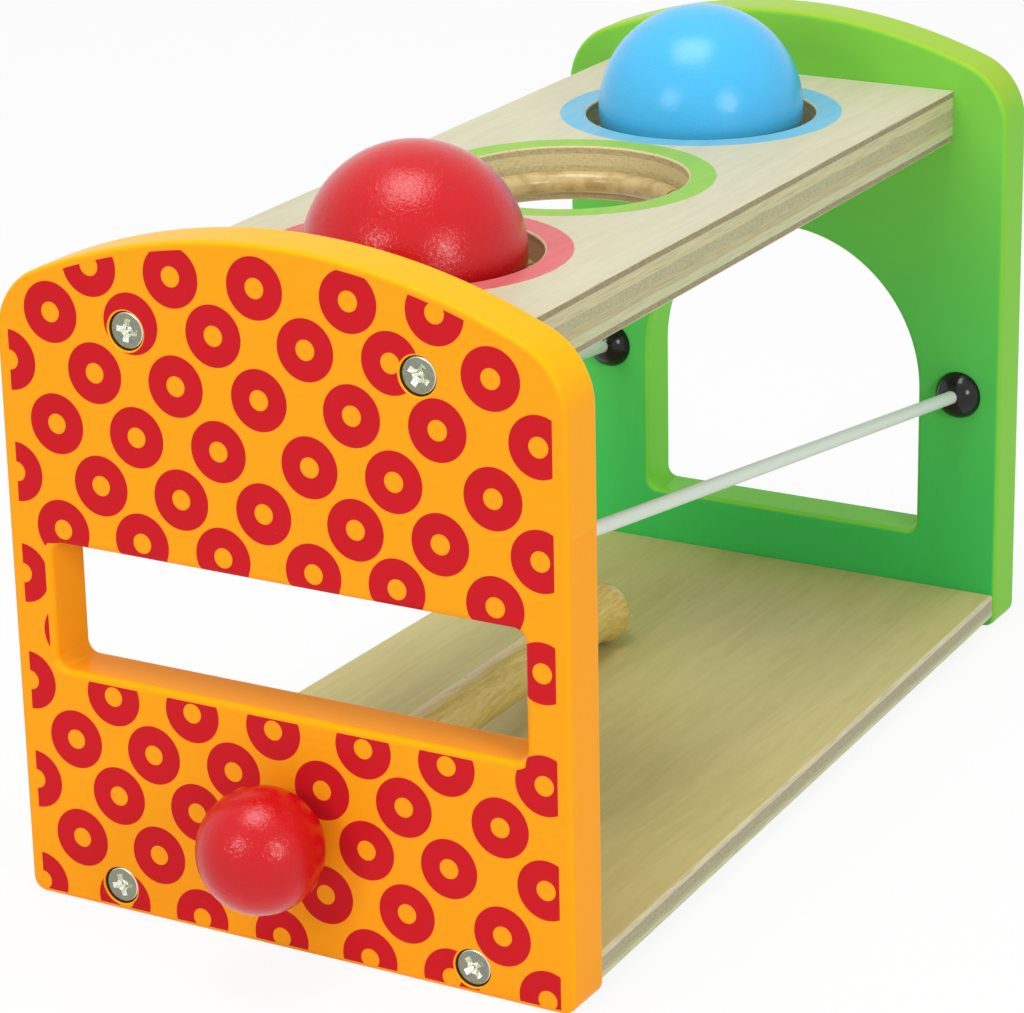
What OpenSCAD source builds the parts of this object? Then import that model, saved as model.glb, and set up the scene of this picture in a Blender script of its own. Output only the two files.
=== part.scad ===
// Ball pounding bench: two painted end panels join a plywood top board with three
// ball holes and a plywood base. Rubber rings in the holes hold the balls until the
// mallet drives them through, and two slanting rails fence the space below.

/* [End panels] */
// Width across the front panel
front_w = 125; // [112:1:145]
// Width across the back panel, narrower than the front
back_w = 112; // [104:1:125]
// Length over both end panels
bench_l = 232; // [228:1:280]
// Height of the end panels at the crown
panel_h = 143; // [140:1:160]
// Thickness of the end panels
panel_t = 12; // [9:0.5:14]
// Radius of the long arc across the top of each panel
crown_r = 132; // [110:1:180]
// Radius of the two shoulders of each panel
shoulder_r = 15; // [8:1:20]
// Radius of the two bottom corners of each panel
foot_r = 3; // [1:0.5:6]

/* [Front window] */
// Width of the slot through the front panel
window_w = 106; // [60:1:108]
// Height of the slot
window_h = 26.5; // [15:0.5:30]
// Height of the slot's sill above the floor
window_z = 50; // [45:1:60]
// Radius of the slot's corners
window_corner_r = 2.5; // [1:0.5:6]

/* [Back arch] */
// Width of the arched doorway through the back panel
arch_w = 71; // [55:1:75]
// Height of the arch's sill above the floor
arch_z = 21; // [12:1:30]
// Height above the floor where the half circle starts
arch_spring_z = 56; // [45:1:65]

/* [Top board] */
// Width of the top board
board_w = 86; // [78:1:96]
// Thickness of the top board
board_t = 12; // [11:0.5:14]
// Height of the top board's upper face above the floor
board_z = 128.5; // [124:0.5:132]
// Distance from the front panel's outer face to the first hole's centre
first_hole_y = 53.5; // [48:0.5:56]
// Distance between hole centres
hole_pitch = 62.5; // [56:0.5:64]
// Chamfer around the top of each hole
hole_chamfer = 0.6; // [0.3:0.1:1]

/* [Balls and grip rings] */
// Diameter of a ball, before what turning adds or takes
ball_d = 45; // [40:0.5:46]
// How much wider than that the red ball was turned
red_ball_extra = -0.4; // [-1:0.1:1]
// How much wider than that the blue ball was turned
blue_ball_extra = 0.5; // [-1:0.1:1]
// Space between a ball and the wall of its hole
hole_play = 3; // [2.5:0.1:3.2]
// Height of a ball's centre above the top board, resting in its ring
ball_rise = 0.3; // [0:0.1:1]
// Diameter of the rubber that a grip ring is made of
grip_d = 4.6; // [4.4:0.1:5.2]
// Depth of a grip ring's middle below the top board's upper face
grip_depth = 7.4; // [6.8:0.1:7.8]

/* [Base] */
// Thickness of the base board
base_t = 6; // [5:0.5:8]
// Height of the base board's underside above the floor
base_lift = 2.5; // [1:0.5:4]
// How far the base board's long edges lie inside the end panels
base_inset = 0.5; // [0:0.5:4]

/* [Screws] */
// Diameter of a screw head
screw_head_d = 7.4; // [6:0.1:9]
// Height of a screw head
screw_head_h = 2.6; // [2:0.1:3.5]
// Depth of a screw head below the face of its panel
screw_sink = 0.4; // [0:0.1:1]
// Diameter of a screw shank
screw_d = 3.5; // [2.5:0.1:3.8]
// Length of a screw
screw_l = 30; // [22:1:36]
// Distance of the upper screws from the top board's long edges
top_screw_inset = 11; // [7:0.5:18]
// Distance of the lower screws from the end panels' side edges
base_screw_inset = 22; // [16:0.5:30]

/* [Rails] */
// Diameter of a rail
rail_d = 3; // [2:0.1:4]
// Distance between the rails at the front panel
rail_front_span = 78; // [66:1:90]
// Height of a rail at the front panel
rail_front_z = 82.5; // [82.5:0.5:92]
// Distance between the rails at the back panel
rail_back_span = 91.5; // [84:0.5:94]
// Height of a rail at the back panel
rail_back_z = 56.5; // [45:0.5:75]
// Depth of a rail's end in its panel
rail_seat = 5; // [3:0.5:7]
// Diameter of the ball that a domed cap is part of
cap_d = 11.6; // [9:0.1:11.8]
// Height of a domed cap
cap_h = 4.4; // [3.5:0.1:5]

/* [Mallet] */
// Diameter of the mallet's ball head
head_d = 25; // [22:0.5:30]
// Depth of the bore in the head that takes the handle
head_bore = 15; // [10:1:18]
// Diameter of the mallet's handle
handle_d = 11; // [8:0.5:11.5]
// Diameter of the rounded knob at the handle's end
knob_d = 13.8; // [12:0.1:14.2]
// Length of the mallet from the head's centre to the knob's centre
mallet_l = 164.8; // [150:0.1:175]
// Diameter of the storage hole through the front panel
storage_hole_d = 15.9; // [15.4:0.1:18]
// Height of the storage hole's centre above the floor
storage_hole_z = 25.5; // [23:0.1:30]
// Sideways place of the storage hole's centre
storage_hole_x = -0.4; // [-3:0.1:3]
// Angle at which the stored handle points to the left
mallet_yaw = 4.85; // [0:0.05:5.5]

/* [Hidden] */
$fn = 96;

// Clearances, and the overrun that every cut shares
overrun = 1;
seat_gap = 0.2;
fit_gap = 0.05;

// Sides
left = -1;
right = 1;

// Radii
ball_r = ball_d / 2;
hole_r = ball_r + hole_play;
grip_r = grip_d / 2;
rail_r = rail_d / 2;
cap_r = cap_d / 2;
head_r = head_d / 2;
handle_r = handle_d / 2;
knob_r = knob_d / 2;
storage_hole_r = storage_hole_d / 2;
screw_head_r = screw_head_d / 2;
screw_r = screw_d / 2;
arch_r = arch_w / 2;
red_ball_r = ball_r + red_ball_extra / 2;
blue_ball_r = ball_r + blue_ball_extra / 2;

// Parts of a screw's head that its cross recess takes
recess_w_share = 0.14;
recess_l_share = 0.56;
recess_h_share = 0.6;
recess_cone_share = 0.8;
recess_tip_share = 0.4;
point_share = 0.1;

// The ring is just clear of the ball that rests on it
grip_ring_r = sqrt(pow(ball_r + grip_r + seat_gap, 2) - pow(grip_depth + ball_rise, 2));

// Heights of the base and of the screws in the middle of each board
base_top = base_lift + base_t;
base_mid = base_lift + base_t / 2;
board_mid = board_z - board_t / 2;

// The mallet leans from its hole down to the base, where its knob rests
knob_z = base_top + knob_r + seat_gap;
lean_slack = (panel_t / 2 + head_r) * tan(mallet_yaw + asin((storage_hole_z - knob_z) / mallet_l));
head_stand = sqrt(pow(head_r + seat_gap, 2) - pow(storage_hole_r - lean_slack, 2));
head_to_hole = (panel_t / 2 + head_stand) / cos(mallet_yaw);
hole_to_knob = mallet_l - head_to_hole;
mallet_lean = asin((storage_hole_z - knob_z) / hole_to_knob);
mallet_way = [
  -sin(mallet_yaw) * cos(mallet_lean),
  cos(mallet_yaw) * cos(mallet_lean),
  -sin(mallet_lean)
];

// Lengthways places, with the origin under the middle of the whole toy
head_reach = head_to_hole * mallet_way.y - panel_t / 2 + head_r;
front_y = (head_reach - bench_l) / 2;
back_y = front_y + bench_l;
front_inner_y = front_y + panel_t;
back_inner_y = back_y - panel_t;
board_l = bench_l - 2 * panel_t;
hole_ys = [for (i = [0:2]) front_y + first_hole_y + i * hole_pitch];
storage_hole = [storage_hole_x, front_y + panel_t / 2, storage_hole_z];

// Height of a ball's centre above the ring that it rests on, for a ball of any size
function stand(r) = sqrt(pow(r + grip_r + seat_gap, 2) - pow(grip_ring_r, 2));

// Ends of a rail's centre line at the panels' inner faces
function rail_front(side) = [side * rail_front_span / 2, front_inner_y, rail_front_z];
function rail_back(side) = [side * rail_back_span / 2, back_inner_y, rail_back_z];
function rail_way(side) = (rail_back(side) - rail_front(side)) / rail_length(side);
function rail_length(side) = norm(rail_back(side) - rail_front(side));

// Points the Z axis of its children from the origin of the move along a direction
module aim(start, way) {
  translate(start)
    rotate([0, acos(way.z / norm(way)), atan2(way.y, way.x)])
      children();
}

// Stands a flat shape up as a panel, from its front face at y
module upright(y, thickness) {
  translate([0, y + thickness, 0])
    rotate([90, 0, 0])
      linear_extrude(thickness)
        children();
}

// Outline of an end panel: straight sides, round corners and a long arc on top
module panel_outline(width) {
  half = width / 2;
  crown_z = panel_h - crown_r;
  shoulder_x = half - shoulder_r;
  shoulder_z = crown_z + sqrt(pow(crown_r - shoulder_r, 2) - pow(shoulder_x, 2));
  reach = panel_h / (shoulder_z - crown_z);
  translate([-half, foot_r]) square([width, shoulder_z - foot_r]);
  translate([foot_r - half, 0]) square([width - 2 * foot_r, shoulder_z]);
  for (side = [left, right]) {
    translate([side * (half - foot_r), foot_r]) circle(foot_r);
    translate([side * shoulder_x, shoulder_z]) circle(shoulder_r);
  }
  intersection() {
    translate([0, crown_z]) circle(crown_r, $fn = 240);
    polygon([
      [-shoulder_x, foot_r], [shoulder_x, foot_r], [shoulder_x, shoulder_z],
      [shoulder_x * reach, crown_z + (shoulder_z - crown_z) * reach],
      [-shoulder_x * reach, crown_z + (shoulder_z - crown_z) * reach],
      [-shoulder_x, shoulder_z]
    ]);
  }
}

// The slot in the front panel, with round corners
module window_outline() {
  across = window_w / 2 - window_corner_r;
  up = window_h - 2 * window_corner_r;
  translate([0, window_z + window_corner_r]) {
    translate([-across, -window_corner_r]) square([2 * across, window_h]);
    translate([-window_w / 2, 0]) square([window_w, up]);
    for (side = [left, right], z = [0, up])
      translate([side * across, z]) circle(window_corner_r);
  }
}

// The doorway in the back panel, with a half circle on top
module arch_outline() {
  up = arch_spring_z - arch_z;
  translate([-arch_r, arch_z]) square([arch_w, up]);
  intersection() {
    translate([0, arch_spring_z]) circle(arch_r);
    translate([-arch_w, arch_z]) square([2 * arch_w, up + arch_w]);
  }
}

// The way through a panel and into a board for one screw, from its head along Z
module screw_hole() {
  translate([0, 0, -overrun - screw_sink])
    cylinder(h = overrun + screw_sink + fit_gap, r = screw_head_r + fit_gap);
  cylinder(h = screw_head_h + fit_gap, r1 = screw_head_r + fit_gap, r2 = screw_r + fit_gap);
  cylinder(h = screw_l + fit_gap, r = screw_r + fit_gap);
}

// One countersunk screw with a cross recess, from its head along Z
module screw() {
  point_h = screw_d;
  recess_w = screw_head_d * recess_w_share;
  recess_l = screw_head_d * recess_l_share;
  recess_h = screw_head_h * recess_h_share;
  color("silver")
    difference() {
      union() {
        cylinder(h = screw_head_h, r1 = screw_head_r, r2 = screw_r);
        cylinder(h = screw_l - point_h, r = screw_r);
        translate([0, 0, screw_l - point_h])
          cylinder(h = point_h, r1 = screw_r, r2 = screw_r * point_share);
      }
      for (turn = [0, 90])
        rotate(turn)
          translate([-recess_l / 2, -recess_w / 2, -overrun])
            cube([recess_l, recess_w, overrun + recess_h]);
      translate([0, 0, -fit_gap])
        cylinder(h = screw_head_h * recess_cone_share, r1 = recess_w, r2 = recess_w * recess_tip_share);
    }
}

// Places a screw or its hole: end is "front" or "back", board is "top" or "base"
module at_screw(end, board, side) {
  base_x = (end == "front" ? front_w : back_w) / 2 - base_screw_inset;
  x = board == "top" ? board_w / 2 - top_screw_inset : base_x;
  z = board == "top" ? board_mid : base_mid;
  translate([side * x, end == "front" ? front_y : back_y, z])
    rotate([end == "front" ? -90 : 90, 0, 0])
      translate([0, 0, screw_sink])
        children();
}

module end_screw_holes(end) {
  for (board = ["top", "base"], side = [left, right])
    at_screw(end, board, side) screw_hole();
}

module board_screw_holes(board) {
  for (end = ["front", "back"], side = [left, right])
    at_screw(end, board, side) screw_hole();
}

// Sockets for the four ends of the two rails
module rail_sockets() {
  for (side = [left, right])
    aim(rail_front(side), rail_way(side))
      translate([0, 0, -rail_seat - seat_gap])
        cylinder(h = rail_length(side) + 2 * (rail_seat + seat_gap), r = rail_r + fit_gap);
}

module front_panel() {
  color("orange")
    difference() {
      upright(front_y, panel_t) panel_outline(front_w);
      upright(front_y - overrun, panel_t + 2 * overrun) window_outline();
      translate([storage_hole.x, front_y - overrun, storage_hole.z])
        rotate([-90, 0, 0])
          cylinder(h = panel_t + 2 * overrun, r = storage_hole_r);
      end_screw_holes("front");
      rail_sockets();
    }
}

module back_panel() {
  color("limegreen")
    difference() {
      upright(back_inner_y, panel_t) panel_outline(back_w);
      upright(back_inner_y - overrun, panel_t + 2 * overrun) arch_outline();
      end_screw_holes("back");
      rail_sockets();
    }
}

module top_board() {
  color("wheat")
    difference() {
      translate([-board_w / 2, front_inner_y, board_z - board_t])
        cube([board_w, board_l, board_t]);
      for (y = hole_ys)
        translate([0, y, board_z]) {
          translate([0, 0, -board_t - overrun])
            cylinder(h = board_t + 2 * overrun, r = hole_r);
          translate([0, 0, -hole_chamfer])
            cylinder(h = 2 * hole_chamfer, r1 = hole_r, r2 = hole_r + 2 * hole_chamfer);
          grip_shape(grip_r + fit_gap);
        }
      board_screw_holes("top");
    }
}

module base_board() {
  front_half = front_w / 2 - base_inset;
  back_half = back_w / 2 - base_inset;
  color("burlywood")
    difference() {
      translate([0, 0, base_lift])
        linear_extrude(base_t)
          polygon([
            [-front_half, front_inner_y], [front_half, front_inner_y],
            [back_half, back_inner_y], [-back_half, back_inner_y]
          ]);
      board_screw_holes("base");
    }
}

// A ring of round rubber, level with its groove below the board's upper face
module grip_shape(section_r) {
  translate([0, 0, -grip_depth])
    rotate_extrude()
      translate([grip_ring_r, 0]) circle(section_r, $fn = 48);
}

module grip_ring(i) {
  color("goldenrod") translate([0, hole_ys[i], board_z]) grip_shape(grip_r);
}

module ball(i, r, paint) {
  color(paint) translate([0, hole_ys[i], board_z - grip_depth + stand(r)]) sphere(r);
}

module rail(side) {
  color("white")
    aim(rail_front(side), rail_way(side))
      translate([0, 0, -rail_seat])
        cylinder(h = rail_length(side) + 2 * rail_seat, r = rail_r);
}

// A domed cap around a rail, flat against the panel that the rail's end is in
module cap(side, end) {
  color("black")
    difference() {
      translate(end == "front" ? rail_front(side) : rail_back(side))
        rotate([end == "front" ? -90 : 90, 0, 0])
          intersection() {
            translate([0, 0, cap_h - cap_r]) sphere(cap_r);
            translate([-cap_r, -cap_r, 0]) cube(cap_d);
          }
      rail_sockets();
    }
}

module mallet_head() {
  color("red")
    aim(storage_hole, mallet_way)
      translate([0, 0, -head_to_hole])
        difference() {
          sphere(head_r);
          translate([0, 0, head_r - head_bore])
            cylinder(h = head_bore + overrun, r = handle_r + fit_gap);
        }
}

module mallet_handle() {
  color("tan")
    aim(storage_hole, mallet_way) {
      translate([0, 0, head_r - head_bore + fit_gap - head_to_hole])
        cylinder(h = mallet_l - head_r + head_bore - fit_gap, r = handle_r);
      translate([0, 0, hole_to_knob]) sphere(knob_r);
    }
}

front_panel();
back_panel();
top_board();
base_board();
grip_ring(0);  // front_grip
grip_ring(1);  // middle_grip
grip_ring(2);  // back_grip
ball(0, red_ball_r, "crimson");  // red_ball
ball(2, blue_ball_r, "deepskyblue");  // blue_ball
rail(left);  // left_rail
rail(right);  // right_rail
cap(left, "front");  // left_front_cap
cap(right, "front");  // right_front_cap
cap(left, "back");  // left_back_cap
cap(right, "back");  // right_back_cap
mallet_head();
mallet_handle();
at_screw("front", "top", left) screw();  // front_top_left_screw
at_screw("front", "top", right) screw();  // front_top_right_screw
at_screw("front", "base", left) screw();  // front_base_left_screw
at_screw("front", "base", right) screw();  // front_base_right_screw
at_screw("back", "top", left) screw();  // back_top_left_screw
at_screw("back", "top", right) screw();  // back_top_right_screw
at_screw("back", "base", left) screw();  // back_base_left_screw
at_screw("back", "base", right) screw();  // back_base_right_screw
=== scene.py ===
import math

import bpy
from mathutils import Matrix, Quaternion, Vector


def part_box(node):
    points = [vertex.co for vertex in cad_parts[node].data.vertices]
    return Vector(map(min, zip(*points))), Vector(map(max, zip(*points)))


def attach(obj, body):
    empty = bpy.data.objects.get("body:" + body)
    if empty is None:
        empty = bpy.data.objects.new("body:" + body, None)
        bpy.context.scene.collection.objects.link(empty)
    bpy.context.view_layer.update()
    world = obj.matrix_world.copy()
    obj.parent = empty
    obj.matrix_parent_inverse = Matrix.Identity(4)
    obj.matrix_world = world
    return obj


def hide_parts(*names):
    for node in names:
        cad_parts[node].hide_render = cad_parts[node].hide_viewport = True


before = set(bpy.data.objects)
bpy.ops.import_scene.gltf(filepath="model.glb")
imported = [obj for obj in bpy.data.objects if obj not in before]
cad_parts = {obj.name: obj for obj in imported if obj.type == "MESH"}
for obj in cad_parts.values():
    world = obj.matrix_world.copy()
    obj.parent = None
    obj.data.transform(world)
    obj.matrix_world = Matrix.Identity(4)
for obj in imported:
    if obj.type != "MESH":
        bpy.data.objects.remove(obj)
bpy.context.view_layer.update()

# ---------------------------------------------------------------- sizes, in millimetres
MM = 0.001               # a millimetre in metres
FRONT_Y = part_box("front_panel")[0][1] / MM
BACK_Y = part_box("back_panel")[1][1] / MM
PANEL_T, PANEL_H = 12.0, 143.0
FRONT_W, BACK_W = 125.0, 112.0
CROWN_R, SHOULDER_R, FOOT_R = 132.0, 15.0, 3.0
CROWN_Z = PANEL_H - CROWN_R                      # middle of the crown's arc
ROUND_R = 1.2            # rounding of the end panels' outer edges and of the arch
WINDOW_ROUND_R = 1.5     # rounding around the window
WINDOW_W, WINDOW_H, WINDOW_Z, WINDOW_R = 106.0, 26.5, 50.0, 2.5
ARCH_W, ARCH_Z, ARCH_SPRING_Z, ARCH_R = 71.0, 21.0, 56.0, 2.5
BOARD_W, BOARD_T, BOARD_Z = 86.0, 12.0, 128.5    # BOARD_Z is its upper face
BOARD_EASE = 0.6         # small rounding on all edges of the top board
FIRST_HOLE_Y, HOLE_PITCH, HOLE_R = 53.5, 62.5, 25.5
HOLE_YS = [FRONT_Y + FIRST_HOLE_Y + HOLE_PITCH * i for i in range(3)]
STAIN_R, STAIN_FADE = 31.7, 0.15                 # a hole's stained ring, and half the blur of its edge
RED_BALL_R, BLUE_BALL_R, NOMINAL_BALL_R = 22.3, 22.75, 22.5
BALL_GAP = 0.2           # a ball stands this far off its rubber ring
BALL_RISE = 0.3          # a nominal ball's middle above the top board
GRIP_R = 2.3
GRIP_DEPTH = 7.4         # from the board's upper face down to the middle of the rubber
BASE_T, BASE_Z, BASE_INSET, BASE_EASE = 6.0, 2.5, 0.5, 0.9
SCREW_HEAD_R, SCREW_HEAD_H, SCREW_R, SCREW_L, SCREW_SINK = 3.7, 2.6, 1.75, 30.0, 0.4
TOP_SCREW_INSET, BASE_SCREW_INSET = 11.0, 22.0
RAIL_R, RAIL_SEAT = 1.5, 5.0
RAIL_FRONT_X, RAIL_FRONT_Z = 39.0, 82.5          # where a rail meets the front panel
RAIL_BACK_X, RAIL_BACK_Z = 45.75, 56.5           # where it meets the back panel
CAP_R, CAP_H = 5.8, 4.4
HEAD_R, HEAD_BORE, HANDLE_R, KNOB_R, MALLET_L = 12.5, 15.0, 5.5, 6.9, 164.8
STORAGE_HOLE = Vector((-0.4, FRONT_Y + PANEL_T / 2, 25.5))
STORAGE_R = 7.95
FIT_GAP = 0.05           # space around what sits in a bore or a groove


# ---------------------------------------------------------------- small helpers
def linear(code):
    """sRGB hex to the linear colour that Blender works in."""
    def one(v):
        return v / 12.92 if v <= 0.04045 else ((v + 0.055) / 1.055) ** 2.4
    return tuple(one(int(code[i:i + 2], 16) / 255) for i in (1, 3, 5)) + (1.0,)


def leave_edit():
    bpy.ops.object.mode_set(mode="OBJECT")


def activate(obj=None):
    """Deselects everything, then selects one object."""
    if bpy.context.mode != "OBJECT":
        leave_edit()
    bpy.ops.object.select_all(action="DESELECT")
    if obj:
        obj.select_set(True)
        bpy.context.view_layer.objects.active = obj


def edit_all(obj):
    """Opens edit mode with all of one object selected."""
    activate(obj)
    bpy.ops.object.mode_set(mode="EDIT")
    bpy.ops.mesh.select_all(action="SELECT")


def pick(obj, test, kind="FACE"):
    """Opens edit mode with the faces or vertices selected whose place and normal pass the test."""
    activate(obj)
    bpy.ops.object.mode_set(mode="EDIT")
    bpy.ops.mesh.select_mode(type=kind)
    bpy.ops.mesh.select_all(action="DESELECT")
    leave_edit()
    if kind == "FACE":
        for face in obj.data.polygons:
            face.select = test(face.center, face.normal)
    else:
        for vertex in obj.data.vertices:
            vertex.select = test(vertex.co, vertex.normal)
    bpy.ops.object.mode_set(mode="EDIT")


def named(name):
    """Names the object that an operator has just made."""
    obj = bpy.context.object
    obj.name = obj.data.name = name
    return obj


def new_object(name, data):
    """An object of its own for a curve, a mesh or a camera."""
    obj = bpy.data.objects.new(name, data)
    bpy.context.collection.objects.link(obj)
    return obj


def settle(obj):
    """Puts the object's place and turn into its mesh, so that it sits at the origin."""
    activate(obj)
    bpy.ops.object.transform_apply(location=True, rotation=True, scale=True)
    return obj


def clean(obj, angle=35):
    """Merges doubles, turns the normals outwards and smooths all but the sharp edges."""
    edit_all(obj)
    bpy.ops.mesh.remove_doubles(threshold=0.002 * MM)
    bpy.ops.mesh.normals_make_consistent(inside=False)
    leave_edit()
    bpy.ops.object.shade_smooth_by_angle(angle=math.radians(angle))
    return obj


def apply_modifier(obj, kind, **settings):
    activate(obj)
    modifier = obj.modifiers.new(kind.lower(), kind)
    for key, value in settings.items():
        setattr(modifier, key, value)
    bpy.ops.object.modifier_apply(modifier=modifier.name)


def cut(obj, cutter):
    """Cuts the cutter's shape out of the piece, and throws the cutter away."""
    apply_modifier(obj, "BOOLEAN", operation="DIFFERENCE", solver="EXACT", object=cutter)
    activate(cutter)
    bpy.ops.object.delete()


def move(obj, x=0, y=0, z=0):
    """Shifts a mesh by millimetres, and leaves its object at the origin."""
    obj.data.transform(Matrix.Translation((x * MM, y * MM, z * MM)))
    return obj


def cylinder(name, r, depth, at, turn=(0, 0, 0), vertices=96):
    activate()
    bpy.ops.mesh.primitive_cylinder_add(vertices=vertices, radius=r * MM, depth=depth * MM,
                                        location=[v * MM for v in at], rotation=turn)
    return settle(named(name))


def ball(name, r, at=(0, 0, 0), segments=128, rings=64):
    activate()
    bpy.ops.mesh.primitive_uv_sphere_add(segments=segments, ring_count=rings, radius=r * MM,
                                         location=[v * MM for v in at])
    return settle(named(name))


def arc(cx, cy, r, start, end, steps):
    """Points on an arc, angles in degrees, both ends included."""
    angles = [math.radians(start + (end - start) * i / steps) for i in range(steps + 1)]
    return [(cx + r * math.cos(a), cy + r * math.sin(a)) for a in angles]


def board(name, loops, thickness, rounding, resolution=5):
    """A flat board cut along closed loops, its edges rounded by a router, lying from z 0 to its thickness.
    The loops are given where the rounding ends on the face, so the board grows past them by the rounding."""
    activate()
    curve = bpy.data.curves.new(name, "CURVE")
    curve.dimensions = "2D"
    curve.fill_mode = "BOTH"
    curve.extrude = (thickness / 2 - rounding) * MM
    curve.bevel_depth = rounding * MM
    curve.bevel_resolution = resolution
    for loop in loops:
        spline = curve.splines.new("POLY")
        spline.points.add(len(loop) - 1)
        for point, (x, y) in zip(spline.points, loop):
            point.co = (x * MM, y * MM, 0, 1)
        spline.use_cyclic_u = True
    activate(new_object(name, curve))
    bpy.ops.object.convert(target="MESH")
    obj = named(name)
    obj.location.z = thickness / 2 * MM
    return clean(settle(obj))


def stand_up(obj, front_y):
    """Turns a board that lies in XY up into XZ, with its face at front_y."""
    up = Matrix.Translation((0, (front_y + PANEL_T) * MM, 0))
    obj.data.transform(up @ Matrix.Rotation(math.pi / 2, 4, "X"))
    return obj


def lathe(name, profile, steps=96):
    """Turns a profile of (radius, height) points around Z."""
    mesh = bpy.data.meshes.new(name)
    edges = [(i, i + 1) for i in range(len(profile) - 1)]
    mesh.from_pydata([(r * MM, 0, z * MM) for r, z in profile], edges, [])
    obj = new_object(name, mesh)
    edit_all(obj)
    bpy.ops.mesh.spin(steps=steps, angle=2 * math.pi, center=(0, 0, 0), axis=(0, 0, 1))
    leave_edit()
    return clean(obj)


def aim(start, way):
    """The move that takes the origin's Z axis to a start point and a direction."""
    return Matrix.Translation(Vector(start) * MM) @ Vector(way).to_track_quat("Z", "Y").to_matrix().to_4x4()


# ---------------------------------------------------------------- end panels
def panel_loop(width):
    """The end panel's outline, inside its rounding: a long crown arc between two shoulders."""
    half = width / 2
    sx = half - SHOULDER_R
    sz = CROWN_Z + math.sqrt((CROWN_R - SHOULDER_R) ** 2 - sx ** 2)
    turn = math.degrees(math.atan2(sz - CROWN_Z, sx))
    inner = SHOULDER_R - ROUND_R
    foot = FOOT_R - ROUND_R
    loop = arc(half - FOOT_R, FOOT_R, foot, -90, 0, steps=6)
    loop += arc(sx, sz, inner, 0, turn, steps=24)
    loop += arc(0, CROWN_Z, CROWN_R - ROUND_R, turn, 180 - turn, steps=96)[1:-1]
    loop += arc(-sx, sz, inner, 180 - turn, 180, steps=24)
    loop += arc(-half + FOOT_R, FOOT_R, foot, 180, 270, steps=6)
    return loop


def window_loop(grown):
    """The window's outline, grown outwards."""
    x, r = WINDOW_W / 2 - WINDOW_R, WINDOW_R + grown
    low, high = WINDOW_Z + WINDOW_R, WINDOW_Z + WINDOW_H - WINDOW_R
    corners = ((x, low, -90), (x, high, 0), (-x, high, 90), (-x, low, 180))
    return [point for cx, cz, start in corners for point in arc(cx, cz, r, start, start + 90, steps=12)]


def window_cutter():
    """What a router takes out for the window: straight walls that flare out in a small round at both faces.
    No operator gives this flare, so its loops are joined in mesh code."""
    flare_angles = [math.radians(a) for a in (84, 70, 56, 42, 28, 14, 0)]
    overrun = 1
    levels = [(-overrun, WINDOW_ROUND_R)]
    levels += [(WINDOW_ROUND_R * (1 - math.sin(a)), WINDOW_ROUND_R * (1 - math.cos(a))) for a in flare_angles]
    levels += [(PANEL_T - depth, grown) for depth, grown in reversed(levels)]
    points, faces = [], []
    for depth, grown in levels:
        points += [(x * MM, (FRONT_Y + depth) * MM, z * MM) for x, z in window_loop(grown)]
    count = len(points) // len(levels)
    for level in range(len(levels) - 1):
        for i in range(count):
            j, a, b = (i + 1) % count, level * count, (level + 1) * count
            faces.append((a + i, a + j, b + j, b + i))
    faces += [tuple(range(count)), tuple(range(len(points) - count, len(points)))]
    mesh = bpy.data.meshes.new("window_cutter")
    mesh.from_pydata(points, [], faces)
    return clean(new_object("window_cutter", mesh))


def doorway_loop():
    """The arch's outline, outside its rounding."""
    half, r = ARCH_W / 2, ARCH_R + ROUND_R
    x, low = half - ARCH_R, ARCH_Z + ARCH_R
    return (arc(x, low, r, -90, 0, steps=12) + arc(0, ARCH_SPRING_Z, half + ROUND_R, 0, 180, steps=72)
            + arc(-x, low, r, 180, 270, steps=12))


def screw_places(ends=("front", "back")):
    """Name, place on the panel's face and direction of each screw."""
    for end, y, way, width in (("front", FRONT_Y, 1, FRONT_W), ("back", BACK_Y, -1, BACK_W)):
        for level, x, z in (("top", BOARD_W / 2 - TOP_SCREW_INSET, BOARD_Z - BOARD_T / 2),
                            ("base", width / 2 - BASE_SCREW_INSET, BASE_Z + BASE_T / 2)):
            for side, sign in (("left", -1), ("right", 1)):
                if end in ends:
                    yield f"{end}_{level}_{side}_screw", (sign * x, y, z), (0, way, 0)


def drill_panel(panel, end):
    """A countersunk hole with a soft lip for each screw."""
    seat_r = SCREW_HEAD_R + 0.2
    seat_z = SCREW_SINK + 0.2
    pilot_r, hole_l, overrun = SCREW_R + FIT_GAP, 14, 1
    # How much wider than the seat the lip is, and how deep it lies.
    lip = [(0.6, -overrun), (0.35, 0), (0.15, 0.06), (0.04, 0.16), (0, 0.3)]
    profile = [(0, -overrun)] + [(seat_r + wider, z) for wider, z in lip]
    profile += [(seat_r, seat_z), (pilot_r, seat_z + SCREW_HEAD_H), (pilot_r, hole_l), (0, hole_l)]
    for _, place, way in screw_places([end]):
        sink = lathe("sink", profile, steps=64)
        sink.data.transform(aim(place, way))
        cut(panel, sink)
    clean(panel, angle=30)
    apply_modifier(panel, "WEIGHTED_NORMAL", keep_sharp=True)


front_panel = stand_up(board("front_panel_routed", [panel_loop(FRONT_W)], PANEL_T, ROUND_R), FRONT_Y)
cut(front_panel, window_cutter())
cut(front_panel, cylinder("hole", STORAGE_R, PANEL_T + 4, STORAGE_HOLE, turn=(math.pi / 2, 0, 0),
                          vertices=128))
drill_panel(front_panel, "front")

back_panel = board("back_panel_routed", [panel_loop(BACK_W), doorway_loop()], PANEL_T, ROUND_R)
stand_up(back_panel, BACK_Y - PANEL_T)
drill_panel(back_panel, "back")

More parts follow.
